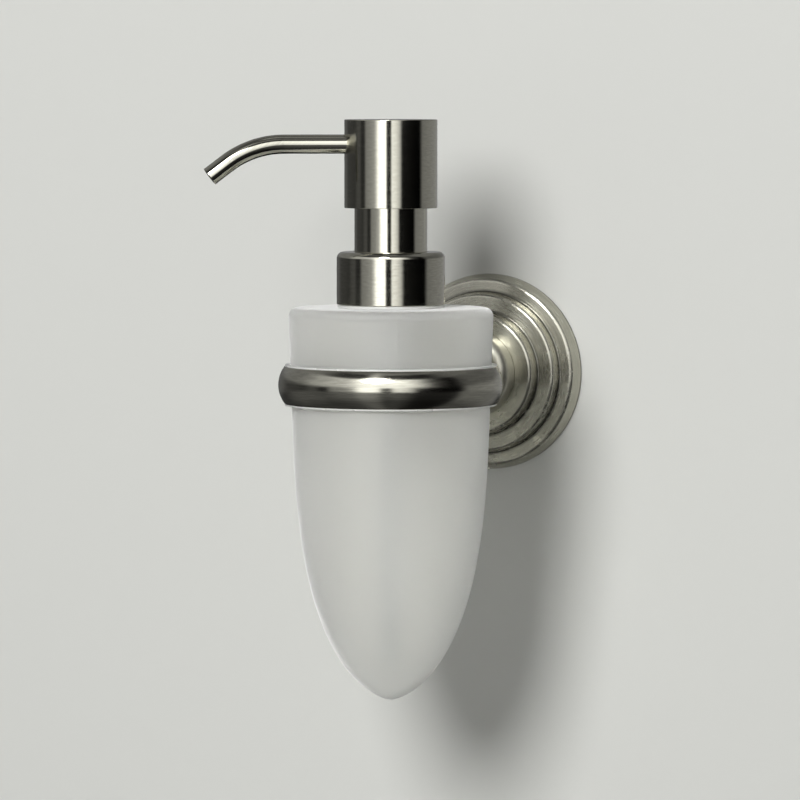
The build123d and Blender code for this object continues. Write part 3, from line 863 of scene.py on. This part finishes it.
# ---- the collar --------------------------------------------------------------------------
class DISPENSER_OT_collar(bpy.types.Operator):
    """Adds the metal collar and finishes its threaded inside"""

    bl_idname = "dispenser.collar"
    bl_label = "Collar"

    def execute(self, context):
        edge, bore, hole = 17.25, 16.45, 11.9
        foot, ceiling, top = 25.6, 41.4, 42.4
        outline = [(bore, foot), (edge, foot), (edge, top), (hole, top), (hole, ceiling)]
        outline.append((bore, ceiling))
        rounds = [(edge, top, 2.1), (edge, foot, 0.15), (hole, top, 0.35)]
        bm = lathe(outline, rounds, segments=9)
        material = nickel("Nickel of the collar", BOTTLE_CENTRE)
        finish_piece("collar_turned", bm, ON_BOTTLE, "collar", material, ["collar_shell"])
        dress("collar_insert", plastic("Collar inside", (0.05, 0.05, 0.052), roughness=0.45))
        return {"FINISHED"}


# ---- the pump ----------------------------------------------------------------------------
class DISPENSER_OT_pump(bpy.types.Operator):
    """Adds the neck sleeve and the spring, and finishes the pump's other pieces"""

    bl_idname = "dispenser.pump"
    bl_label = "Pump"

    def execute(self, context):
        edge, bore, foot, top = 11.6, 11.0, 40.6, 59.2
        outline = [(bore, foot), (edge, foot), (edge, top), (bore, top)]
        bm = lathe(outline, [(edge, top, 0.2), (edge, foot, 0.1)], segments=3)
        material = nickel("Nickel of the sleeve", BOTTLE_CENTRE)
        finish_piece("sleeve_turned", bm, ON_BOTTLE, "pump", material, ["neck_sleeve"])
        white = plastic("Pump plastic", (0.80, 0.81, 0.82), roughness=0.38, transmission=0.15)
        for node in ("pump_housing", "stem_guide", "piston_stem"):
            dress(node, white)
        seal = plastic("Seal rubber", (0.60, 0.60, 0.57), roughness=0.6, scale=1500.0)
        dress("pump_gasket", seal)
        dress("piston", seal)
        clear = plastic("Tube plastic", (0.82, 0.84, 0.85), roughness=0.2, transmission=0.5)
        dress("dip_tube", clear)
        ball = steel("Ball steel", (0.62, 0.62, 0.63), roughness=0.08)
        dress("check_ball", ball)
        dress("outlet_ball", ball)
        low, high = (Vector(corner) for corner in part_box("return_spring"))
        length, pressed, wire = high.z - low.z, 9.04 * MM, 0.45 * MM
        foot = Vector((0.0, BOTTLE_Y, low.z))
        bm = coil((high.x - low.x) / 2 - wire, wire, length, turns=6)
        wound = steel("Spring steel", (0.50, 0.50, 0.51), roughness=0.18)
        place = Matrix.Translation(foot)
        spring = finish_piece("spring_wound", bm, place, "pump", wound, ["return_spring"])
        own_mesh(spring)
        return {"FINISHED"}


# ---- the head ----------------------------------------------------------------------------
class DISPENSER_OT_head(bpy.types.Operator):
    """Adds the pump's head and finishes its inside"""

    bl_idname = "dispenser.head"
    bl_label = "Head"

    def execute(self, context):
        edge, bore = 14.8, 14.0
        foot, ceiling, top = 56.3, 83.4, 84.4
        outline = [(bore, foot), (edge, foot), (edge, top), (0.0, top), (0.0, ceiling)]
        outline.append((bore, ceiling))
        bm = lathe(outline, [(edge, top, 0.3), (edge, foot, 0.15)], segments=4)
        material = nickel("Nickel of the head", BOTTLE_CENTRE)
        finish_piece("head_turned", bm, ON_BOTTLE, "head", material, ["head_shell"])
        dress("head_insert", plastic("Head inside", (0.05, 0.05, 0.052), roughness=0.45))
        return {"FINISHED"}


class DISPENSER_OT_spout(bpy.types.Operator):
    """Adds the bent spout with its open tip"""

    bl_idname = "dispenser.spout"
    bl_label = "Spout"

    def execute(self, context):
        edge, bore, height = 3.05 * MM, 2.45 * MM, 76.6 * MM
        start, straight, bend_radius, tip = 4.6 * MM, 29.6 * MM, 30.0 * MM, 7.0 * MM
        heading, bend, sides, steps = math.radians(210.0), math.radians(37.0), 64, 28
        bm = bmesh.new()
        for radius in (edge, bore):
            bmesh.ops.create_circle(bm, cap_ends=False, segments=sides, radius=radius)
        bmesh.ops.bridge_loops(bm, edges=bm.edges[:])
        bmesh.ops.rotate(bm, verts=bm.verts, matrix=Matrix.Rotation(math.pi / 2, 3, "Y"))
        bmesh.ops.translate(bm, verts=bm.verts, vec=(start, 0, 0))
        made = bmesh.ops.extrude_face_region(bm, geom=bm.faces[:], use_keep_orig=True)["geom"]
        moved = [g for g in made if isinstance(g, bmesh.types.BMVert)]
        bmesh.ops.translate(bm, verts=moved, vec=(straight, 0, 0))
        front = [g for g in made if isinstance(g, bmesh.types.BMFace)]
        turned = bmesh.ops.spin(
            bm,
            geom=front,
            cent=(start + straight, 0, -bend_radius),
            axis=(0, 1, 0),
            angle=bend,
            steps=steps,
        )
        last = [g for g in turned["geom_last"] if isinstance(g, bmesh.types.BMFace)]
        made = bmesh.ops.extrude_face_region(bm, geom=last)["geom"]
        moved = [g for g in made if isinstance(g, bmesh.types.BMVert)]
        way = (tip * math.cos(bend), 0, -tip * math.sin(bend))
        bmesh.ops.translate(bm, verts=moved, vec=way)
        inside = [f for f in front + last if f.is_valid]
        bmesh.ops.delete(bm, geom=inside, context="FACES")
        bmesh.ops.remove_doubles(bm, verts=bm.verts, dist=WELD)
        bmesh.ops.recalc_face_normals(bm, faces=bm.faces)
        place = ON_BOTTLE @ Matrix.Translation((0, 0, height)) @ Matrix.Rotation(heading, 4, "Z")
        material = nickel("Nickel of the spout", BOTTLE_CENTRE, low=0.07, high=0.14, depth=0.000003)
        finish_piece("spout_bent", bm, place, "head", material, ["spout_tube"])
        return {"FINISHED"}


# ---- the stage ---------------------------------------------------------------------------
# The studio that the metal mirrors. Stops are (heading around +Z in degrees, brightness).
LEVEL = [
    (-180, 0.06), (-168, 0.05), (-160, 0.09), (-151, 0.10), (-145, 0.035), (-137, 0.035),
    (-131, 0.30), (-118, 0.38), (-109, 0.48), (-104, 1.0), (-98, 2.3), (-80, 2.5),
    (-77.5, 0.02), (-67.5, 0.02), (-65, 1.6), (-55, 1.3), (-46, 0.8), (-40, 0.01), (9, 0.0),
    (14, 0.12), (18, 0.24), (38, 0.28), (80, 0.33), (112, 0.32), (122, 0.12), (146, 0.13),
    (160, 0.07), (180, 0.06),
]
ABOVE = [
    (-180, 0.25), (-168, 0.32), (-156, 0.54), (-145, 0.62), (-126, 0.75), (-117, 0.8),
    (-108, 1.2), (-100, 1.9), (-60, 1.9), (-50, 1.65), (-42, 1.25), (-33, 0.66), (-24, 0.17),
    (-16, 0.05), (0, 0.0), (8, 0.03), (14, 0.10), (25, 0.14), (50, 0.15), (90, 0.19),
    (112, 0.24), (180, 0.25),
]
GAP = [
    (-180, 0.25), (-158, 0.20), (-140, 0.05), (-128, 0.02), (-96, 0.02), (-92, 1.0),
    (-85, 1.0), (-81, 0.02), (-20, 0.02), (0, 0.14), (20, 0.20), (180, 0.25),
]
HIGH = [
    (-180, 0.17), (-110, 0.17), (-97, 0.25), (-90, 0.80), (-84, 0.45), (-75, 0.30),
    (-60, 0.30), (-40, 0.20), (0, 0.22), (60, 0.25), (180, 0.20),
]
BELOW = [
    (-180, 0.13), (-158, 0.13), (-140, 0.11), (-110, 0.18), (-98, 0.36), (-85, 0.36),
    (-75, 0.10), (-60, 0.16), (-40, 0.02), (4, 0.02), (14, 0.20), (78, 0.20), (92, 0.03),
    (150, 0.05), (180, 0.13),
]
# Layers that cover each other in turn: the rise in degrees at which each one begins and is whole,
# the share that it covers there, and its stops or its one brightness.
LAYERS = (
    (2, 13, 1.0, ABOVE),
    (35, 41, 1.0, GAP),
    (52, 58, 1.0, HIGH),
    (-5, -12, 1.0, BELOW),
    (60, 70, 1.0, 0.096),
    (-20, -48, 0.55, 0.0),
    (80, 83, 1.0, 0.36),
)
BRIGHTEST = 4.0

# Wall and floor fade out for mirrored rays between these lengths, so that the metal shows the
# studio, and for all rays that are shorter than the clearance, so that the rosette's back is lit.
MIRRORED = (0.03, 0.07)
CLEARANCE = 0.0012
WALL_GAP = 0.0003  # from the back of the rosette to the wall's sheet

# lamps: name, place, width, height, power, and whether it is only seen mirrored in the metal
LAMPS = (
    ("key", (0.04, -1.55, 0.62), 0.54, 0.80, 21.5, False),
    ("glint", (0.16, -1.45, 0.90), 0.56, 0.56, 12.0, True),
)


def studio_group():
    """The brightness of the studio in each direction, for what the metal reflects."""
    tree, given, made = node_group(
        "Studio",
        (("Vector", "NodeSocketVector", None),),
        (("Brightness", "NodeSocketFloat"),),
    )
    split = add(tree, "ShaderNodeSeparateXYZ")
    link(tree, given.outputs["Vector"], split.inputs[0])
    heading = maths(tree, "ARCTAN2", split.outputs["Y"], split.outputs["X"])
    place = remap(tree, heading, -math.pi, math.pi, 0.0, 1.0)
    rise = maths(tree, "ARCSINE", split.outputs["Z"])

    def band(stops):
        if isinstance(stops, float):
            return (stops / BRIGHTEST,) * 3
        return ramp(tree, place, [((a + 180) / 360, v / BRIGHTEST) for a, v in stops])

    tone = band(LEVEL)
    for begin, whole, cover, stops in LAYERS:
        begin, whole = math.radians(begin), math.radians(whole)
        part = remap(tree, rise, begin, whole, 0.0, cover, "SMOOTHSTEP")
        tone = mix_colour(tree, part, tone, band(stops))
    link(tree, maths(tree, "MULTIPLY", tone, BRIGHTEST), made.inputs["Brightness"])
    return tree


class DISPENSER_OT_stage(bpy.types.Operator):
    """Adds the wall, the floor, the studio light and the camera"""

    bl_idname = "dispenser.stage"
    bl_label = "Stage"

    def panel(self, name, matrix, size, colour, glow=0.0):
        """A painted sheet that can't be seen from behind. Its glow is seen by the camera alone."""
        bm = bmesh.new()
        bmesh.ops.create_grid(bm, x_segments=1, y_segments=1, size=size / 2, matrix=matrix)
        mesh = bpy.data.meshes.new(name)
        bm.to_mesh(mesh)
        bm.free()
        material, tree, shader = new_material(name + " paint")
        place = add(tree, "ShaderNodeTexCoord")
        cloud = add(tree, "ShaderNodeTexNoise", Scale=3.0, Detail=2.0)
        link(tree, place.outputs["Object"], cloud.inputs["Vector"])
        tone = mix_colour(tree, cloud.outputs["Fac"], tint(colour, 0.985), colour)
        link(tree, tone, shader.inputs["Base Color"])
        shader.inputs["Roughness"].default_value = 0.9
        shader.inputs["Specular IOR Level"].default_value = 0.1
        ray = add(tree, "ShaderNodeLightPath")
        even = add(tree, "ShaderNodeEmission")
        link(tree, tone, even.inputs["Color"])
        seen = maths(tree, "MULTIPLY", ray.outputs["Is Transmission Ray"], sizes().wall_glow)
        plain = maths(tree, "MULTIPLY", ray.outputs["Is Camera Ray"], glow)
        through = add(tree, "ShaderNodeMixShader")
        link(tree, maths(tree, "MAXIMUM", seen, plain), through.inputs[0])
        link(tree, shader.outputs[0], through.inputs[1])
        link(tree, even.outputs[0], through.inputs[2])
        clear = add(tree, "ShaderNodeBsdfTransparent")
        facing = add(tree, "ShaderNodeNewGeometry")
        choose = add(tree, "ShaderNodeMixShader")
        far = remap(tree, ray.outputs["Ray Length"], *MIRRORED, 0.0, 1.0, "SMOOTHSTEP")
        glossy, passed = ray.outputs["Is Glossy Ray"], ray.outputs["Is Transmission Ray"]
        far = maths(tree, "MULTIPLY", far, maths(tree, "SUBTRACT", glossy, passed))
        hidden = maths(tree, "MAXIMUM", facing.outputs["Backfacing"], far)
        close = maths(tree, "LESS_THAN", ray.outputs["Ray Length"], CLEARANCE)
        hidden = maths(tree, "MAXIMUM", hidden, close)
        link(tree, hidden, choose.inputs[0])
        link(tree, through.outputs[0], choose.inputs[1])
        link(tree, clear.outputs[0], choose.inputs[2])
        out = tree.nodes["Material Output"]
        link(tree, choose.outputs[0], out.inputs["Surface"])
        mesh.materials.append(material)
        sheet = bpy.data.objects.new(name, mesh)
        bpy.context.scene.collection.objects.link(sheet)

    def world(self):
        """Soft fill for the surfaces, the studio for the metal and a room for the glass."""
        fill, backdrop, room_ahead, room_behind = (0.23,) * 3, (0.66, 0.66, 0.65), 0.2, 0.62
        world = bpy.data.worlds.new("Studio")
        bpy.context.scene.world = world
        world.use_nodes = True
        tree = world.node_tree
        back = tree.nodes["Background"]
        place = add(tree, "ShaderNodeTexCoord")
        studio = place_group(tree, studio_group(), place.outputs["Generated"])
        ray = add(tree, "ShaderNodeLightPath")
        pale = mix_colour(tree, ray.outputs["Is Camera Ray"], fill, backdrop)
        tone = mix_colour(tree, ray.outputs["Is Glossy Ray"], pale, studio.outputs["Brightness"])
        split = add(tree, "ShaderNodeSeparateXYZ")
        link(tree, place.outputs["Generated"], split.inputs[0])
        depth = split.outputs["Y"]
        room = remap(tree, depth, -0.7, 0.0, room_ahead, room_behind, "SMOOTHSTEP")
        tone = mix_colour(tree, ray.outputs["Is Transmission Ray"], tone, room)
        link(tree, tone, back.inputs["Color"])

    def lamp(self, name, place, width, height, power, mirrored):
        light = bpy.data.lights.new(name, "AREA")
        light.shape = "ELLIPSE"
        light.size = width
        light.size_y = height
        light.energy = power
        lamp = bpy.data.objects.new(name, light)
        lamp.location = place
        way = Vector(BOTTLE_CENTRE) - Vector(place)
        lamp.rotation_euler = way.to_track_quat("-Z", "Y").to_euler()
        lamp.visible_glossy = mirrored
        lamp.visible_diffuse = not mirrored
        lamp.visible_transmission = not mirrored
        bpy.context.scene.collection.objects.link(lamp)

    def camera(self):
        turn, rise = sizes().camera_turn, sizes().camera_rise
        right = Vector((math.cos(turn), math.sin(turn), 0.0))
        level = math.cos(rise)
        back = Vector((math.sin(turn) * level, -math.cos(turn) * level, math.sin(rise)))
        target = Vector((0.0, BOTTLE_Y, -sizes().aim_drop)) + right * sizes().aim_right
        data = bpy.data.cameras.new("Camera")
        data.angle = 2 * math.atan(sizes().view_width / 2 / sizes().camera_distance)
        camera = bpy.data.objects.new("Camera", data)
        camera.location = target + back * sizes().camera_distance
        camera.rotation_euler = (-back).to_track_quat("-Z", "Y").to_euler()
        bpy.context.scene.collection.objects.link(camera)
        bpy.context.scene.camera = camera

    def execute(self, context):
        width = sizes().wall_width
        wall = Matrix.Translation((0, WALL_GAP, 0)) @ Matrix.Rotation(math.pi / 2, 4, "X")
        self.panel("wall", wall, width, tuple(colours().wall))
        floor = Matrix.Translation((0, -width / 2, -sizes().floor_drop))
        self.panel("floor", floor, width, tuple(colours().wall), sizes().floor_glow)
        self.world()
        for lamp in LAMPS:
            self.lamp(*lamp)
        self.camera()
        bpy.context.scene.view_settings.view_transform = "Standard"
        return {"FINISHED"}


class DISPENSER_PT_panel(bpy.types.Panel):
    bl_idname = "DISPENSER_PT_panel"
    bl_label = "Soap dispenser"
    bl_space_type = "VIEW_3D"
    bl_region_type = "UI"
    bl_category = "Dispenser"

    def draw(self, context):
        for group in (context.scene.dispenser_sizes, context.scene.dispenser_colours):
            for key in group.__annotations__:
                self.layout.prop(group, key)
        for operator in OPERATORS:
            self.layout.operator(operator.bl_idname)


OPERATORS = (
    DISPENSER_OT_rosette,
    DISPENSER_OT_arm,
    DISPENSER_OT_ring,
    DISPENSER_OT_fixings,
    DISPENSER_OT_bottle,
    DISPENSER_OT_collar,
    DISPENSER_OT_pump,
    DISPENSER_OT_head,
    DISPENSER_OT_spout,
    DISPENSER_OT_stage,
)
CLASSES = (DispenserSizes, DispenserColours, *OPERATORS, DISPENSER_PT_panel)


def register():
    for cls in CLASSES:
        bpy.utils.register_class(cls)
    bpy.types.Scene.dispenser_sizes = bpy.props.PointerProperty(type=DispenserSizes)
    bpy.types.Scene.dispenser_colours = bpy.props.PointerProperty(type=DispenserColours)


def unregister():
    del bpy.types.Scene.dispenser_sizes
    del bpy.types.Scene.dispenser_colours
    for cls in reversed(CLASSES):
        bpy.utils.unregister_class(cls)


def main():
    register()
    for operator in OPERATORS:
        getattr(bpy.ops.dispenser, operator.bl_idname.split(".")[1])()


if __name__ == "__main__":
    main()
